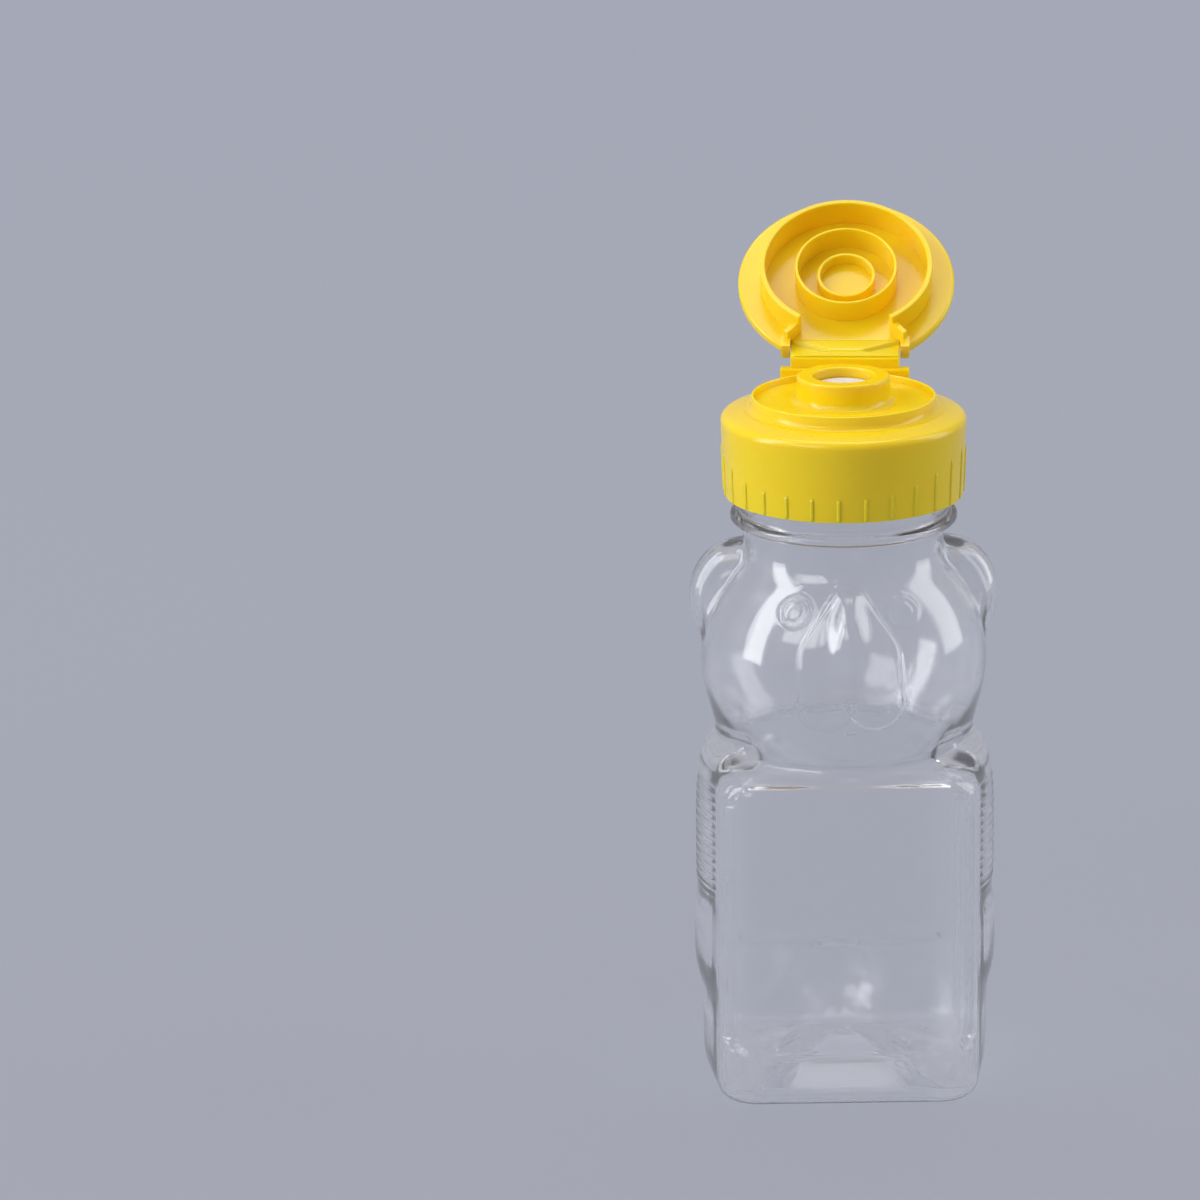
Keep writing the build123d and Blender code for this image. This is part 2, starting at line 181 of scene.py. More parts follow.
def floorMaterial():
    material, tree = newMaterial("floor_paper")
    place = objectPlace(tree)
    grain = noiseAt(tree, place, *floor["grain"])
    paper = addNode(tree, "ShaderNodeBsdfPrincipled",
                    {"Base Color": floor["colour"], "Roughness": spanOf(tree, grain, *floor["roughness"]),
                     "Specular IOR Level": floor["shine"],
                     "Normal": bumpOf(tree, grain, *floor["grainBump"])}).outputs["BSDF"]
    depth = addNode(tree, "ShaderNodeSeparateXYZ", {0: place}).outputs["Y"]
    away = spanOf(tree, depth, 0, 1, floor["nearEdge"], floor["farEdge"])
    # Painted shade: the colour seen on the floor is blended darker near the camera and lighter far off
    shade = blendColours(tree, away, floor["near"], floor["far"])
    paintedFloorShade = addNode(tree, "ShaderNodeEmission", {"Color": shade, "Strength": floor["evenStrength"]})
    path = addNode(tree, "ShaderNodeLightPath").outputs
    seen = mathNode(tree, "MAXIMUM", path["Is Camera Ray"], path["Is Glossy Ray"])
    seen = mathNode(tree, "MAXIMUM", seen, path["Is Transmission Ray"])
    share = mathNode(tree, "MULTIPLY", seen, floor["evenShare"])
    endMaterial(tree, mixShaders(tree, share, paper, paintedFloorShade.outputs["Emission"]))
    return material


def makeFloor():
    ticks = np.linspace(-floor["reach"], floor["reach"], floor["steps"] + 1)
    points = [(x, y, 0.0) for y in ticks for x in ticks]
    meshObject("floor", points, sheetFaces(len(ticks), len(ticks)), floorMaterial())


def makeSurround():
    world = bpy.data.worlds.new("surround")
    bpy.context.scene.world = world
    world.use_nodes = True
    tree = world.node_tree
    tree.nodes.clear()
    sky = addNode(tree, "ShaderNodeBackground",
                  {"Color": surround["colour"], "Strength": surround["strength"]})
    addNode(tree, "ShaderNodeOutputWorld", {"Surface": sky.outputs["Background"]})


# Each light: place, aim, width, height and power in watts
lights = {"strip_left": ((-0.965, -0.17, 0.62), (0, 0, 0.3), 0.36, 1.3, 7.4),
          "panel_left": ((-0.75, -0.85, 0.75), (0, 0, 0.07), 0.7, 0.6, 3.4),
          "strip_right": ((0.93, 0.14, 0.6), (0, 0, 0.3), 0.44, 1.2, 3.8),
          "overhead": ((0.0, 0.35, 1.5), (0, 0.1, 0), 1.1, 0.9, 6.2)}


def makeLight(name, place, aim, width, height, power):
    data = bpy.data.lights.new(name, "AREA")
    data.shape = "RECTANGLE"
    data.size = width
    data.size_y = height
    data.energy = power
    away = Vector(place) - Vector(aim)
    turn = away.to_track_quat("Z", "Y").to_matrix().to_4x4()
    addObject(name, data).matrix_world = Matrix.Translation(place) @ turn


makeFloor()
makeSurround()
for lightName, lightFacts in lights.items():
    makeLight(lightName, *lightFacts)
print("floor and lights placed")

# Noise is given as scale and detail, and a bump as depth and strength
clearLook = {"tint": (0.972, 0.975, 0.982, 1), "roughness": (0.06, 0.1), "ior": 1.57, "waves": (70.0, 1.0),
             "waveBump": (0.25, 0.35), "fine": (420.0, 2.0), "fineBump": (0.02, 0.25),
             "haze": (0.86, 0.87, 0.92, 1), "hazeShare": 0.035, "backShare": 0.5,
             "shadowTint": (0.95, 0.953, 0.965, 1), "deepestRay": 6.5}
mouldedLook = {"clouds": (55.0, 3.0), "waves": (120.0, 1.0), "waveBump": (0.05, 0.15), "peel": (1400.0, 2.0),
               "peelBump": (0.01, 0.15), "roughSpread": 0.1, "ior": 1.49, "siliconeIor": 1.41,
               "glowRadius": (1.0, 0.62, 0.12), "glowScale": 1.6}
foamLook = {"cells": 1800.0, "cellBump": (0.12, 0.5), "cellEdge": 0.8, "shade": (0.72, 0.72, 0.72, 1),
            "light": (0.86, 0.86, 0.85, 1), "roughness": 0.8}


def clearMaterial():
    material, tree = newMaterial("clear_pet")
    place = objectPlace(tree)
    waves = noiseAt(tree, place, *clearLook["waves"])
    fine = noiseAt(tree, place, *clearLook["fine"])
    normal = bumpOf(tree, fine, *clearLook["fineBump"], bumpOf(tree, waves, *clearLook["waveBump"]))
    rough = spanOf(tree, fine, *clearLook["roughness"])
    glass = addNode(tree, "ShaderNodeBsdfPrincipled",
                    {"Base Color": clearLook["tint"], "Roughness": rough, "IOR": clearLook["ior"],
                     "Transmission Weight": 1.0, "Normal": normal}).outputs["BSDF"]
    haze = {"Color": clearLook["haze"], "Normal": normal}
    front = addNode(tree, "ShaderNodeBsdfDiffuse", haze).outputs["BSDF"]
    back = addNode(tree, "ShaderNodeBsdfTranslucent", haze).outputs["BSDF"]
    cloudy = mixShaders(tree, clearLook["backShare"], back, front)
    plastic = mixShaders(tree, clearLook["hazeShare"], glass, cloudy)
    # Shadow rays, and rays that have met many walls already, go straight through
    through = addNode(tree, "ShaderNodeBsdfTransparent", {"Color": clearLook["shadowTint"]}).outputs["BSDF"]
    path = addNode(tree, "ShaderNodeLightPath").outputs
    deep = mathNode(tree, "GREATER_THAN", path["Ray Depth"], clearLook["deepestRay"])
    passing = mathNode(tree, "MAXIMUM", path["Is Shadow Ray"], deep)
    endMaterial(tree, mixShaders(tree, passing, plastic, through))
    return material


def mouldedMaterial(name, shade, light, rough, ior=mouldedLook["ior"], glow=0.0):
    material, tree = newMaterial(name)
    place = objectPlace(tree)
    clouds = noiseAt(tree, place, *mouldedLook["clouds"])
    peel = noiseAt(tree, place, *mouldedLook["peel"])
    waves = noiseAt(tree, place, *mouldedLook["waves"])
    spread = mouldedLook["roughSpread"]
    swell = bumpOf(tree, waves, *mouldedLook["waveBump"])
    inputs = {"Base Color": blendColours(tree, spanOf(tree, clouds, 0, 1), shade, light),
              "Roughness": spanOf(tree, waves, rough * (1 - spread), rough * (1 + spread)), "IOR": ior,
              "Normal": bumpOf(tree, peel, *mouldedLook["peelBump"], swell)}
    if glow:
        inputs["Subsurface Weight"] = glow
        inputs["Subsurface Radius"] = mouldedLook["glowRadius"]
        inputs["Subsurface Scale"] = mouldedLook["glowScale"] * mm
    endMaterial(tree, addNode(tree, "ShaderNodeBsdfPrincipled", inputs).outputs["BSDF"])
    return material


def foamMaterial():
    material, tree = newMaterial("liner_foam")
    pattern = addNode(tree, "ShaderNodeTexVoronoi", {"Vector": objectPlace(tree), "Scale": foamLook["cells"]})
    cells = pattern.outputs["Distance"]
    share = spanOf(tree, cells, 0, 1, 0, foamLook["cellEdge"])
    tint = blendColours(tree, share, foamLook["shade"], foamLook["light"])
    inputs = {"Base Color": tint, "Roughness": foamLook["roughness"],
              "Normal": bumpOf(tree, cells, *foamLook["cellBump"])}
    endMaterial(tree, addNode(tree, "ShaderNodeBsdfPrincipled", inputs).outputs["BSDF"])
    return material


clearPlastic = clearMaterial()
yellowPlastic = mouldedMaterial("yellow_polypropylene", (0.94, 0.65, 0.007, 1), (0.97, 0.69, 0.012, 1), 0.2,
                                glow=0.5)
siliconeRubber = mouldedMaterial("valve_silicone", (0.80, 0.72, 0.70, 1), (0.88, 0.80, 0.78, 1), 0.38,
                                 mouldedLook["siliconeIor"], 0.4)
whitePlastic = mouldedMaterial("retainer_white", (0.78, 0.78, 0.77, 1), (0.85, 0.85, 0.84, 1), 0.3)

nodeMaterials = {"closure_base": yellowPlastic, "lid": yellowPlastic, "silicone_valve": siliconeRubber,
                 "valve_retainer": whitePlastic, "seal_liner": foamMaterial()}
for nodeName, nodeMaterial in nodeMaterials.items():
    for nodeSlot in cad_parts[nodeName].material_slots:
        nodeSlot.material = nodeMaterial
print("materials made")

# The bottle's form is a field: a value at each place that is below zero inside the plastic.
# Fields of the bear's parts are joined softly, and farOff stands for no part nearby.
farOff = 50.0


def softMin(first, second, width):
    share = np.clip(0.5 + 0.5 * (second - first) / width, 0, 1)
    return second + (first - second) * share - width * share * (1 - share)


def softMax(first, second, width):
    return -softMin(-first, -second, width)


def cornerField(a, b):
    return np.hypot(np.maximum(a, 0), np.maximum(b, 0)) + np.minimum(np.maximum(a, b), 0)


def roundBoth(first, second, rounding):
    return cornerField(first + rounding, second + rounding) - rounding


def squareField(x, y, half, corner):
    return cornerField(np.abs(x) - (half - corner), np.abs(y) - (half - corner)) - corner


def riseStep(value, low, high):
    share = np.clip((value - low) / (high - low), 0, 1)
    return share * share * (3 - 2 * share)


def fallStep(value, low, high):
    return riseStep(-value, -high, -low)


def bellOf(distance, width):
    return np.exp(-(distance / width) ** 2)


# Body: a rounded block, with a recessed panel at the front and the back and a push-up in its base
body = {"half": 21.7, "corner": 7.0, "height": 57.0, "shoulderRound": 3.5, "heelRound": 3.0,
        "shoulderRise": 1.0, "shoulderFall": 0.07, "wall": 0.66, "creaseRound": 2.2}
panel = {"halfWidth": 19.9, "top": 55.6, "frontFoot": 8.5, "backFoot": 14.0, "corner": 5.0, "depth": 0.9,
         "edge": 0.6, "setIn": (12.0, 17.0)}
pushUp = {"half": 16.5, "corner": 4.5, "height": 6.6, "apex": 1.0, "apexShare": 0.35, "poleShare": 0.6,
          "steepness": 0.95, "rimRound": 0.5}


def panelDepth(x, z, foot):
    middle = (panel["top"] + foot) / 2
    halfRise = (panel["top"] - foot) / 2
    corner = panel["corner"]
    sideways = np.abs(x) - (panel["halfWidth"] - corner)
    upwards = np.abs(z - middle) - (halfRise - corner)
    return panel["depth"] * riseStep(corner - cornerField(sideways, upwards), 0, panel["edge"])


def bodyField(x, y, z):
    sides = squareField(x, y, body["half"], body["corner"])
    sides = sides + panelDepth(x, z, panel["frontFoot"]) * riseStep(-y, *panel["setIn"])
    sides = sides + panelDepth(x, z, panel["backFoot"]) * riseStep(y, *panel["setIn"])
    roof = z - body["height"] - body["shoulderRise"] + body["shoulderFall"] * np.hypot(x, y)
    block = roundBoth(roundBoth(sides, roof, body["shoulderRound"]), -z, body["heelRound"])
    dent = squareField(x, y, pushUp["half"], pushUp["corner"])
    slope = pushUp["height"] * np.clip(-dent / pushUp["half"], 0, 1)
    slope = softMin(slope, pushUp["height"] - pushUp["apexShare"] * pushUp["apex"], pushUp["apex"])
    return softMax(block, (slope - z) * pushUp["steepness"], pushUp["rimRound"])


# Each limb: how far it stands out, half its depth, its foot, its top and the share of its rise at its belly
limbs = {"y": -3.0, "inside": 3.0, "start": 10.0, "root": 1.0, "power": 4.0, "endRound": 2.5, "overrun": 0.3,
         "lobeScale": 0.8, "arm": (2.92, 12.0, 31.3, 59.4, 0.35), "thigh": (3.28, 12.5, 14.5, 33.7, 0.6),
         "foot": (1.9, 12.0, 0.8, 19.5, 0.5)}
tail = {"y": 18.2, "z": 7.5, "radius": 7.9, "root": 1.6}


def limbField(x, y, z, side, reach, halfDepth, foot, top, belly):
    turning = (halfDepth ** 2 + reach ** 2) / (2 * reach)
    axisX = side * (body["half"] + reach - turning)
    stretch = reach + limbs["inside"]
    root = turning - stretch
    across = np.maximum(np.hypot(x - axisX, y - limbs["y"]) - root, 0) / stretch
    rise = np.clip((z - foot) / (top - foot), -limbs["overrun"], 1 + limbs["overrun"])
    skew = np.sign(rise) * np.abs(rise) ** (math.log(0.5) / math.log(belly))
    power = limbs["power"]
    lobe = (across ** power + np.abs(2 * skew - 1) ** power) ** (1 / power) - 1
    lobe = np.maximum(lobe * stretch * limbs["lobeScale"], limbs["start"] - side * x)
    return softMax(lobe, np.abs(y - limbs["y"]) - halfDepth, limbs["endRound"])


def tailField(x, y, z):
    return np.sqrt(x ** 2 + (y - tail["y"]) ** 2 + (z - tail["z"]) ** 2) - tail["radius"]


head = {"radius": 23.5, "height": 72.3}
ear = {"x": 17.3, "y": 1.0, "z": 82.0, "halfWidth": 8.1, "halfHeight": 9.6, "halfThick": 4.2, "edge": 3.4,
       "dish": 0.7, "dishShares": (0.16, 0.5), "root": 1.2}


def earField(x, y, z, side):
    norm = np.hypot((x - side * ear["x"]) / ear["halfWidth"], (z - ear["z"]) / ear["halfHeight"])
    dish = ear["dish"] * riseStep(1 - norm, *ear["dishShares"])
    away = np.abs(y - ear["y"])
    thick = np.where(y < ear["y"], away + dish, away) - ear["halfThick"]
    return roundBoth((norm - 1) * ear["halfWidth"], thick, ear["edge"])


# Muzzle: a soft bridge down the head, with a low lip along an outline that is drawn round circles.
# Each circle: its distance from the middle, its height and its radius.
muzzle = {"jowl": (4.2, 70.2, 4.6), "cheek": (2.6, 77.5, 5.6), "brow": (0.0, 85.6, 2.9), "lip": 0.42,
          "lipWidth": 0.5, "heights": (64.5, 66, 68, 70.2, 73, 76, 78, 80, 82, 84, 86, 88.6),
          "halfWidths": (3.0, 3.8, 4.0, 4.0, 4.1, 4.4, 4.8, 4.8, 4.4, 3.8, 3.0, 1.6),
          "bulges": (0.0, 0.6, 1.1, 1.36, 1.3, 1.55, 1.9, 2.35, 2.5, 2.1, 1.2, 0.0),
          "split": 0.3, "splitWidth": 0.4, "splitFoot": (65.0, 66.5), "splitTop": (69.0, 71.0),
          "setIn": (2.0, 8.0)}


def capsuleField(x, z, first, second):
    gapX, gapZ = second[0] - first[0], second[1] - first[1]
    length = math.hypot(gapX, gapZ)
    along = ((x - first[0]) * gapX + (z - first[1]) * gapZ) / length
    across = np.abs((x - first[0]) * gapZ - (z - first[1]) * gapX) / length
    lean = (first[2] - second[2]) / length
    level = math.sqrt(1 - lean * lean)
    place = level * along - lean * across
    flank = level * across + lean * along - first[2]
    nearFirst = np.hypot(across, along) - first[2]
    nearSecond = np.hypot(across, along - length) - second[2]
    return np.where(place < 0, nearFirst, np.where(place > level * length, nearSecond, flank))


def muzzleBulge(x, y, z):
    outline = np.full(np.shape(x + z), farOff)
    for side in (-1, 1):
        outline = np.minimum(outline, capsuleField(side * x, z, muzzle["jowl"], muzzle["cheek"]))
        outline = np.minimum(outline, capsuleField(side * x, z, muzzle["cheek"], muzzle["brow"]))
    share = np.clip(np.abs(x) / np.interp(z, muzzle["heights"], muzzle["halfWidths"]), 0, 1)
    bridge = np.interp(z, muzzle["heights"], muzzle["bulges"]) * (0.5 + 0.5 * np.cos(np.pi * share))
    split = muzzle["split"] * bellOf(x, muzzle["splitWidth"])
    split = split * fallStep(z, *muzzle["splitTop"]) * riseStep(z, *muzzle["splitFoot"])
    lip = muzzle["lip"] * riseStep(-outline, 0, muzzle["lipWidth"])
    return (bridge + lip - split) * riseStep(-y, *muzzle["setIn"])


def coarseField(x, y, z):
    whole = bodyField(x, y, z)
    for side in (-1, 1):
        for name in ("arm", "thigh", "foot"):
            whole = softMin(whole, limbField(x, y, z, side, *limbs[name]), limbs["root"])
    whole = softMin(whole, tailField(x, y, z), tail["root"])
    skull = np.sqrt(x ** 2 + y ** 2 + (z - head["height"]) ** 2) - head["radius"] - muzzleBulge(x, y, z)
    whole = softMin(whole, skull, body["creaseRound"])
    for side in (-1, 1):
        whole = softMin(whole, earField(x, y, z, side), ear["root"])
    return np.maximum(whole, -z)


# Fine relief: the eyes, each a low disc with a ring and a brow line above it, and ridges on the arms
eyes = {"x": 8.9, "z": 84.4, "radius": 3.0, "edge": 0.5, "dome": 0.45, "rimShare": 0.62, "ring": 1.7,
        "ringWidth": 0.26, "ringDepth": 0.16, "brow": 0.14, "browRadius": 4.1, "browWidth": 0.4,
        "browInward": (0.4, 1.6), "browAbove": (-0.5, 1.2)}
fur = {"foot": 34.4, "footFade": 0.8, "top": 54.0, "topFade": 1.2, "pitch": 1.5, "slant": 0.1,
       "slantFrom": 23.0, "depth": 0.26, "frontFade": (2.5, 5.0), "sideFade": (21.6, 22.4)}


def eyeHeight(x, y, z, side):
    depth = -math.sqrt(head["radius"] ** 2 - eyes["x"] ** 2 - (eyes["z"] - head["height"]) ** 2)
    away = np.sqrt((x - side * eyes["x"]) ** 2 + (y - depth) ** 2 + (z - eyes["z"]) ** 2)
    crown = np.clip(1 - (away / eyes["radius"]) ** 2, 0, 1)
    disc = eyes["dome"] * fallStep(away, eyes["radius"] - eyes["edge"], eyes["radius"])
    disc = disc * (eyes["rimShare"] + (1 - eyes["rimShare"]) * crown)
    ring = eyes["ringDepth"] * bellOf(away - eyes["ring"], eyes["ringWidth"])
    brow = eyes["brow"] * bellOf(away - eyes["browRadius"], eyes["browWidth"])
    brow = brow * riseStep(eyes["x"] - side * x, *eyes["browInward"])
    return disc - ring + brow * riseStep(z - eyes["z"], *eyes["browAbove"])


def furHeight(x, y, z):
    band = riseStep(z, fur["foot"], fur["foot"] + fur["footFade"])
    band = band * fallStep(z, fur["top"] - fur["topFade"], fur["top"])
    front = riseStep(-y, *fur["frontFade"]) * riseStep(np.abs(x), *fur["sideFade"])
    phase = (z + fur["slant"] * (np.abs(x) - fur["slantFrom"])) / fur["pitch"]
    return 0.5 * fur["depth"] * np.cos(2 * np.pi * phase) * band * front


# Neck: radii at heights, then the rounded lip as radius and height, and the screw thread
neck = {"bore": 15.6, "foot": 84.0, "headRound": 1.6, "headRoundFade": (90.0, 94.0), "leastRound": 0.001,
        "steepness": 0.9, "boreReach": 20.0, "boreRise": 12.0, "boreRound": 1.5,
        "height": (60.0, 94.5, 94.95, 95.12, 95.3, 95.6, 96.3, 96.6, 96.8, 97.0, 97.6, 109.1, 109.45),
        "radius": (16.3, 16.3, 16.55, 17.6, 18.35, 18.62, 18.62, 18.35, 17.6, 17.34, 17.3, 17.3, 17.2),
        "lip": ((17.0, 109.68), (16.75, 109.79), (16.45, 109.8), (16.1, 109.79), (15.8, 109.66),
                (15.62, 109.4))}
thread = {"pitch": 4.233, "start": 103.4, "turns": 1.1, "height": 1.2, "halfRoot": 1.15, "halfCrest": 0.5,
          "fade": 18.0}


def threadHeight(x, y, z):
    turn = np.degrees(np.arctan2(y, x)) % fullTurn
    last = thread["turns"] * fullTurn
    height = np.zeros_like(z)
    for lap in (0, 1):
        along = turn + lap * fullTurn
        ends = riseStep(along, 0, thread["fade"]) * fallStep(along, last - thread["fade"], last)
        away = np.abs(z - thread["start"] - thread["pitch"] * along / fullTurn)
        ridge = np.clip((thread["halfRoot"] - away) / (thread["halfRoot"] - thread["halfCrest"]), 0, 1)
        height = np.maximum(height, ridge * ends)
    return thread["height"] * height


def outerField(x, y, z):
    turned = np.hypot(x, y) - np.interp(z, neck["height"], neck["radius"]) - threadHeight(x, y, z)
    turned = np.maximum(turned * neck["steepness"], neck["foot"] - z)
    rounding = neck["headRound"] * fallStep(z, *neck["headRoundFade"]) + neck["leastRound"]
    relief = eyeHeight(x, y, z, -1) + eyeHeight(x, y, z, 1) + furHeight(x, y, z)
    return softMin(coarseField(x, y, z), turned, rounding) - relief


def innerField(x, y, z):
    turned = np.where(z > neck["foot"] - neck["boreReach"], np.hypot(x, y) - neck["bore"], farOff)
    roof = np.maximum(z - neck["foot"] - neck["boreRise"], 0)
    return softMin(coarseField(x, y, z) + body["wall"] + roof, turned, neck["boreRound"])


# Each grid line is a place and the spacing there: degrees round the bottle from the face to the back,
# degrees of the fan of rays under fanHeight, and heights up the outer and the inner wall
gridStops = {"round": [(0, 0.85), (31, 0.85), (35, 1.7), (39.5, 1.0), (40.5, 0.5), (43, 0.5), (45, 1.6),
                       (57, 2.0), (112, 2.4), (134, 2.0), (137, 0.5), (139.5, 0.5), (141, 1.6), (180, 2.6)],
             "fan": [(-88, 3.0), (-66, 2.0), (-50, 1.2), (-38, 0.8), (-18, 0.8), (-14, 1.0), (0, 1.3)],
             "outerRise": [(12, 0.8), (30, 0.8), (34, 0.3), (53, 0.3), (55, 0.36), (60, 0.38), (64, 0.33),
                           (74, 0.31), (81, 0.31), (89, 0.34), (94, 0.5), (95, 0.18), (97, 0.18), (98, 0.55),
                           (109.3, 0.55)],
             "innerRise": [(12, 1.8), (50, 1.8), (55, 1.0), (62, 1.1), (90, 1.1), (94, 2.4), (108.9, 2.4)]}
gridSamples = 6001
fanHeight = 12.0
rays = {"start": 44.0, "step": 0.6, "stop": 2.0, "halvings": 13}


def graded(stops):
    fine = np.linspace(stops[0][0], stops[-1][0], gridSamples)
    spacing = np.interp(fine, [stop[0] for stop in stops], [stop[1] for stop in stops])
    count = np.concatenate(([0], np.cumsum(np.diff(fine) / spacing[1:])))
    steps = int(round(count[-1]))
    return np.interp(np.linspace(0, count[-1], steps + 1), count, fine)


def gridAngles():
    half = graded(gridStops["round"])
    whole = np.concatenate((half, fullTurn - half[-2:0:-1]))
    return np.radians(whole - rightAngle)


def rayRows(riseStops):
    rows = [(fanHeight, math.radians(angle)) for angle in graded(gridStops["fan"])[:-1]]
    return rows + [(height, 0.0) for height in graded(riseStops)]


def solveSurface(field, rows, angles):
    start = np.array([row[0] for row in rows])[:, None]
    lift = np.array([row[1] for row in rows])[:, None]
    turn = angles[None, :]
    across, up = np.cos(lift), np.sin(lift)

    def pointsAt(reach):
        return reach * across * np.cos(turn), reach * across * np.sin(turn), start + reach * up

    outside = np.full((len(rows), len(angles)), rays["start"])
    inside = outside.copy()
    searching = np.ones(outside.shape, bool)
    for reach in np.arange(rays["start"] - rays["step"], rays["stop"], -rays["step"]):
        hit = searching & (field(*pointsAt(np.full(outside.shape, reach))) <= 0)
        inside[hit] = reach
        outside[hit] = reach + rays["step"]
        searching &= ~hit
    for _ in range(rays["halvings"]):
        middle = (inside + outside) / 2
        solid = field(*pointsAt(middle)) <= 0
        inside = np.where(solid, middle, inside)
        outside = np.where(solid, outside, middle)
    print("rays that met nothing", int(searching.sum()), "of", searching.size)
    return np.stack(pointsAt((inside + outside) / 2), axis=-1)


def lipRows(angles):
    level = np.ones(len(angles))
    return np.array([np.stack((radius * np.cos(angles), radius * np.sin(angles), height * level), axis=-1)
                     for radius, height in neck["lip"]])


def lipFaces(lipRow, topRow, columns, innerColumns):
    # The inner wall has one column for two of the outer wall
    faces = []
    for column in range(innerColumns):
        a, b, c = (lipRow + (2 * column + step) % columns for step in range(3))
        inner, innerAfter = topRow + column, topRow + (column + 1) % innerColumns
        faces += [(a, b, inner), (b, innerAfter, inner), (b, c, innerAfter)]
    return faces


def makeBottle():
    angles = gridAngles()
    outer = solveSurface(outerField, rayRows(gridStops["outerRise"]), angles)
    outer = np.concatenate((outer, lipRows(angles)))
    inner = solveSurface(innerField, rayRows(gridStops["innerRise"]), angles[::2])
    outerRows, columns = outer.shape[:2]
    innerRows, innerColumns = inner.shape[:2]
    pole = pushUp["height"] - pushUp["poleShare"] * pushUp["apex"]
    poles = [(0, 0, pole), (0, 0, pole + body["wall"])]
    points = np.concatenate((outer.reshape(-1, 3), inner.reshape(-1, 3), poles))
    firstInner = outerRows * columns
    poleOut, poleIn = len(points) - 2, len(points) - 1
    faces = bandFaces(0, outerRows, columns)
    faces += [(b, a, d, c) for a, b, c, d in bandFaces(firstInner, innerRows, innerColumns)]
    faces += lipFaces(firstInner - columns, poleOut - innerColumns, columns, innerColumns)
    faces += [((column + 1) % columns, column, poleOut) for column in range(columns)]
    faces += [(firstInner + column, firstInner + (column + 1) % innerColumns, poleIn)
              for column in range(innerColumns)]
    bottle = meshObject("bottle_shell", points * mm, faces, clearPlastic)
    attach(bottle, "bottle")
    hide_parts("bottle")
    print("bottle shell", columns, "columns,", outerRows, "and", innerRows, "rows,", len(faces), "faces")


makeBottle()

# Grip ribs round the cap's skirt: short at the front and back, longer towards the sides
ribs = {"count": 28, "firstAngle": -95.0, "waveTurn": -15.0, "wavePower": 4.0, "foot": 99.76, "ring": 19.6,
        "lean": 2.39, "shortest": 3.9, "rise": 4.9, "halfWidth": 0.36, "proud": 0.22, "sunk": 0.25,
        "edgeRound": 0.3, "taper": 0.12, "tipShare": 0.2, "tipSink": 0.3,
        "profile": ((-1.0, 0.0), (-0.72, 0.66), (-0.36, 0.92), (0.0, 1.0), (0.36, 0.92), (0.72, 0.66),
                    (1.0, 0.0)),
        "levels": (0.0, 0.03, 0.07, 0.12, 0.18, 0.26, 0.36, 0.5, 0.65, 0.8, 0.88, 0.93, 0.97, 1.0)}


def ribBar():
    points = []
    for level in ribs["levels"]:
        full = float(riseStep(1 - level, 0.0, ribs["taper"]))
        scale = ribs["tipShare"] + (1 - ribs["tipShare"]) * full
        for across, height in ribs["profile"]:
            lifted = ribs["proud"] * (height * scale - (1 - full) * ribs["tipSink"])
            points.append((lifted * mm, ribs["halfWidth"] * across * mm, level))
        points += [(-ribs["sunk"] * mm, side * ribs["halfWidth"] * mm, level) for side in (1, -1)]
    width = len(ribs["profile"]) + 2
    last = len(points) - width
    ends = [tuple(range(width - 1, -1, -1)), tuple(range(last, last + width))]
    return points, bandFaces(0, len(ribs["levels"]), width) + ends


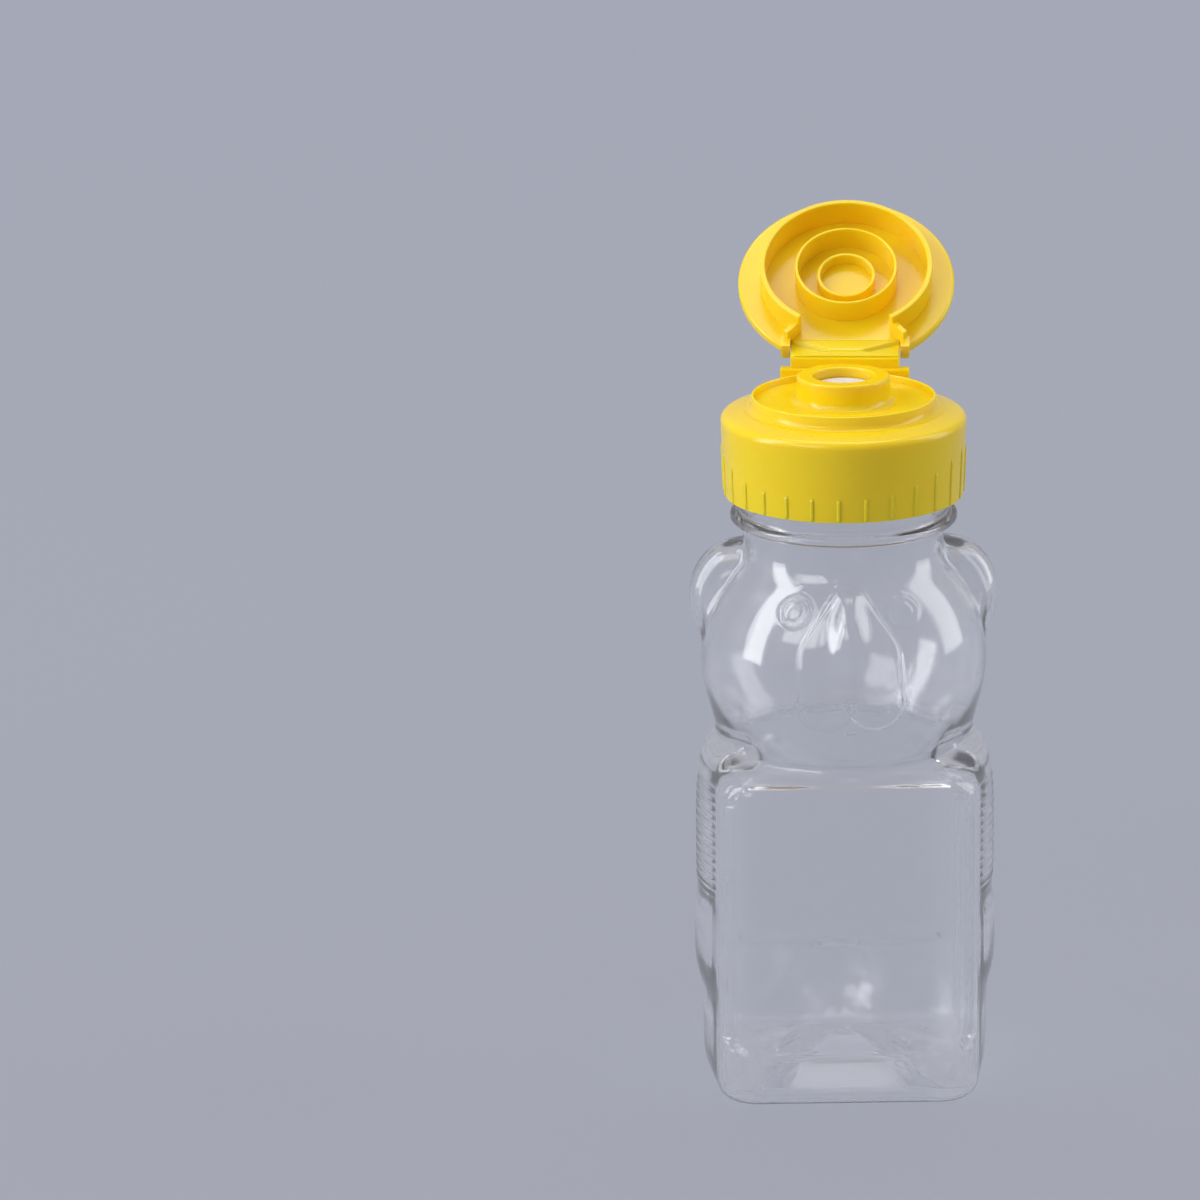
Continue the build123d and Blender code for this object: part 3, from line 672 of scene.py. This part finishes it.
def ribTree():
    tree = bpy.data.node_groups.new("rib_ring", "GeometryNodeTree")
    kinds = {"Rib": "Geometry", "Count": "Int", "Ring Radius": "Float", "First Angle": "Float",
             "Lean": "Float", "Foot Height": "Float", "Shortest Rib": "Float", "Side Rise": "Float",
             "Wave Turn": "Float", "Edge Round": "Float", "Material": "Material"}
    for name, kind in kinds.items():
        tree.interface.new_socket(name=name, in_out="INPUT", socket_type="NodeSocket" + kind)
    tree.interface.new_socket(name="Ribs", in_out="OUTPUT", socket_type="NodeSocketGeometry")
    given = tree.nodes.new("NodeGroupInput").outputs

    def solve(operation, first, second=0.0):
        return mathNode(tree, operation, first, second)

    def vectorOf(**parts):
        return addNode(tree, "ShaderNodeCombineXYZ", parts).outputs[0]

    index = tree.nodes.new("GeometryNodeInputIndex").outputs[0]
    step = solve("DIVIDE", 2 * math.pi, given["Count"])
    angle = solve("ADD", solve("MULTIPLY", index, step), given["First Angle"])
    wave = solve("POWER", solve("COSINE", solve("SUBTRACT", angle, given["Wave Turn"])), ribs["wavePower"])
    tall = solve("ADD", solve("MULTIPLY", wave, given["Side Rise"]), given["Shortest Rib"])
    east = solve("MULTIPLY", solve("COSINE", angle), given["Ring Radius"])
    north = solve("MULTIPLY", solve("SINE", angle), given["Ring Radius"])
    ring = addNode(tree, "GeometryNodeMeshCircle",
                   {"Vertices": given["Count"], "Radius": given["Ring Radius"]})
    seat = vectorOf(X=east, Y=north, Z=given["Foot Height"])
    seats = addNode(tree, "GeometryNodeSetPosition", {"Geometry": ring.outputs[0], "Position": seat})
    copies = addNode(tree, "GeometryNodeInstanceOnPoints",
                     {"Points": seats.outputs[0], "Instance": given["Rib"],
                      "Rotation": vectorOf(Y=given["Lean"], Z=angle),
                      "Scale": vectorOf(X=1.0, Y=1.0, Z=tall)})
    solid = addNode(tree, "GeometryNodeRealizeInstances", {"Geometry": copies.outputs[0]})
    # The ribs' feet are drawn in along the rounded lower edge of the skirt
    place = tree.nodes.new("GeometryNodeInputPosition").outputs[0]
    parts = addNode(tree, "ShaderNodeSeparateXYZ", {0: place}).outputs
    edge = given["Edge Round"]
    above = solve("SUBTRACT", parts["Z"], given["Foot Height"])
    short = solve("MAXIMUM", solve("SUBTRACT", edge, above), 0.0)
    kept = solve("SQRT", solve("SUBTRACT", solve("MULTIPLY", edge, edge), solve("MULTIPLY", short, short)))
    flat = vectorOf(X=parts["X"], Y=parts["Y"])
    outward = addNode(tree, "ShaderNodeVectorMath", {0: flat}, operation="NORMALIZE")
    offset = addNode(tree, "ShaderNodeVectorMath",
                     {0: outward.outputs[0], "Scale": solve("SUBTRACT", kept, edge)}, operation="SCALE")
    bent = addNode(tree, "GeometryNodeSetPosition",
                   {"Geometry": solid.outputs[0], "Offset": offset.outputs[0]})
    tinted = addNode(tree, "GeometryNodeSetMaterial",
                     {"Geometry": bent.outputs[0], "Material": given["Material"]})
    addNode(tree, "NodeGroupOutput", {"Ribs": tinted.outputs[0]})
    return tree


def makeRibs():
    maker = meshObject("rib_maker", *ribBar(), yellowPlastic)
    modifier = maker.modifiers.new("rib_ring", "NODES")
    modifier.node_group = ribTree()
    values = {"Count": ribs["count"], "Ring Radius": ribs["ring"] * mm, "Foot Height": ribs["foot"] * mm,
              "First Angle": math.radians(ribs["firstAngle"]), "Wave Turn": math.radians(ribs["waveTurn"]),
              "Lean": math.radians(ribs["lean"]), "Shortest Rib": ribs["shortest"] * mm,
              "Side Rise": ribs["rise"] * mm, "Edge Round": ribs["edgeRound"] * mm, "Material": yellowPlastic}
    for socket in modifier.node_group.interface.items_tree:
        if socket.in_out == "INPUT" and socket.name in values:
            modifier[socket.identifier] = values[socket.name]
    bpy.context.view_layer.update()
    evaluated = maker.evaluated_get(bpy.context.evaluated_depsgraph_get())
    mesh = bpy.data.meshes.new_from_object(evaluated)
    mesh.name = "cap_ribs"
    bpy.data.objects.remove(maker)
    item = addObject("cap_ribs", mesh)
    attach(item, "closure")
    print("cap ribs", len(mesh.polygons), "faces")


makeRibs()

# The hinge's film between closure and lid: a strap with a waist, and a thinner web set back at each side.
# Foot and edge are places behind the neck's axis and above the floor, before the closure's own turn.
closureTurn = math.radians(-3.6)
film = {"foot": (17.1, 118.0), "edge": (21.39, 119.62), "halfWidth": 9.0, "waist": 2.5, "waistShare": 0.37,
        "thick": 0.5, "recess": 0.52, "step": 0.45, "webThin": 0.1, "fold": 0.14, "foldWidth": 0.3,
        "gap": 0.05, "columns": 96, "rows": 26}


def turnedPoint(x, y, z):
    cosine, sine = math.cos(closureTurn), math.sin(closureTurn)
    return x * cosine - y * sine, x * sine + y * cosine, z


def filmPoint(across, share, face):
    run, rise = film["edge"][0] - film["foot"][0], film["edge"][1] - film["foot"][1]
    length = math.hypot(run, rise)
    reach = film["gap"] + share * (length - 2 * film["gap"])
    if share < film["waistShare"]:
        waist = film["halfWidth"] + (film["waist"] - film["halfWidth"]) * share / film["waistShare"]
    else:
        back = (share - film["waistShare"]) / (1 - film["waistShare"])
        waist = film["waist"] + (film["halfWidth"] - film["waist"]) * back
    web = float(riseStep(abs(across) - waist, 0.0, film["step"]))
    crease = math.exp(-((share - film["waistShare"]) * length / film["foldWidth"]) ** 2)
    half = film["thick"] / 2 - web * film["webThin"] / 2
    half -= film["fold"] * (1 - web) * crease / 2
    depth = face * half - web * film["recess"]
    return turnedPoint(across, film["foot"][0] + run / length * reach - rise / length * depth,
                       film["foot"][1] + rise / length * reach + run / length * depth)


def makeFilm():
    places = np.linspace(-film["halfWidth"], film["halfWidth"], film["columns"] + 1)
    shares = np.linspace(0, 1, film["rows"] + 1)
    points = [filmPoint(across, share, face) for face in (1, -1) for share in shares for across in places]
    width, height = len(places), len(shares)
    under = width * height
    faces = sheetFaces(height, width)
    faces += [(under + a, under + d, under + c, under + b) for a, b, c, d in faces]
    rim = list(range(width))
    rim += [row * width + width - 1 for row in range(1, height)]
    rim += [(height - 1) * width + column for column in range(width - 2, -1, -1)]
    rim += [row * width for row in range(height - 2, 0, -1)]
    for start, after in zip(rim, rim[1:] + rim[:1]):
        faces.append((start, under + start, under + after, after))
    item = meshObject("hinge_film", np.array(points) * mm, faces, yellowPlastic)
    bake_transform(item)
    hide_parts("hinge_strap", "hinge_web_left", "hinge_web_right")
    print("hinge film", len(faces), "faces")


makeFilm()
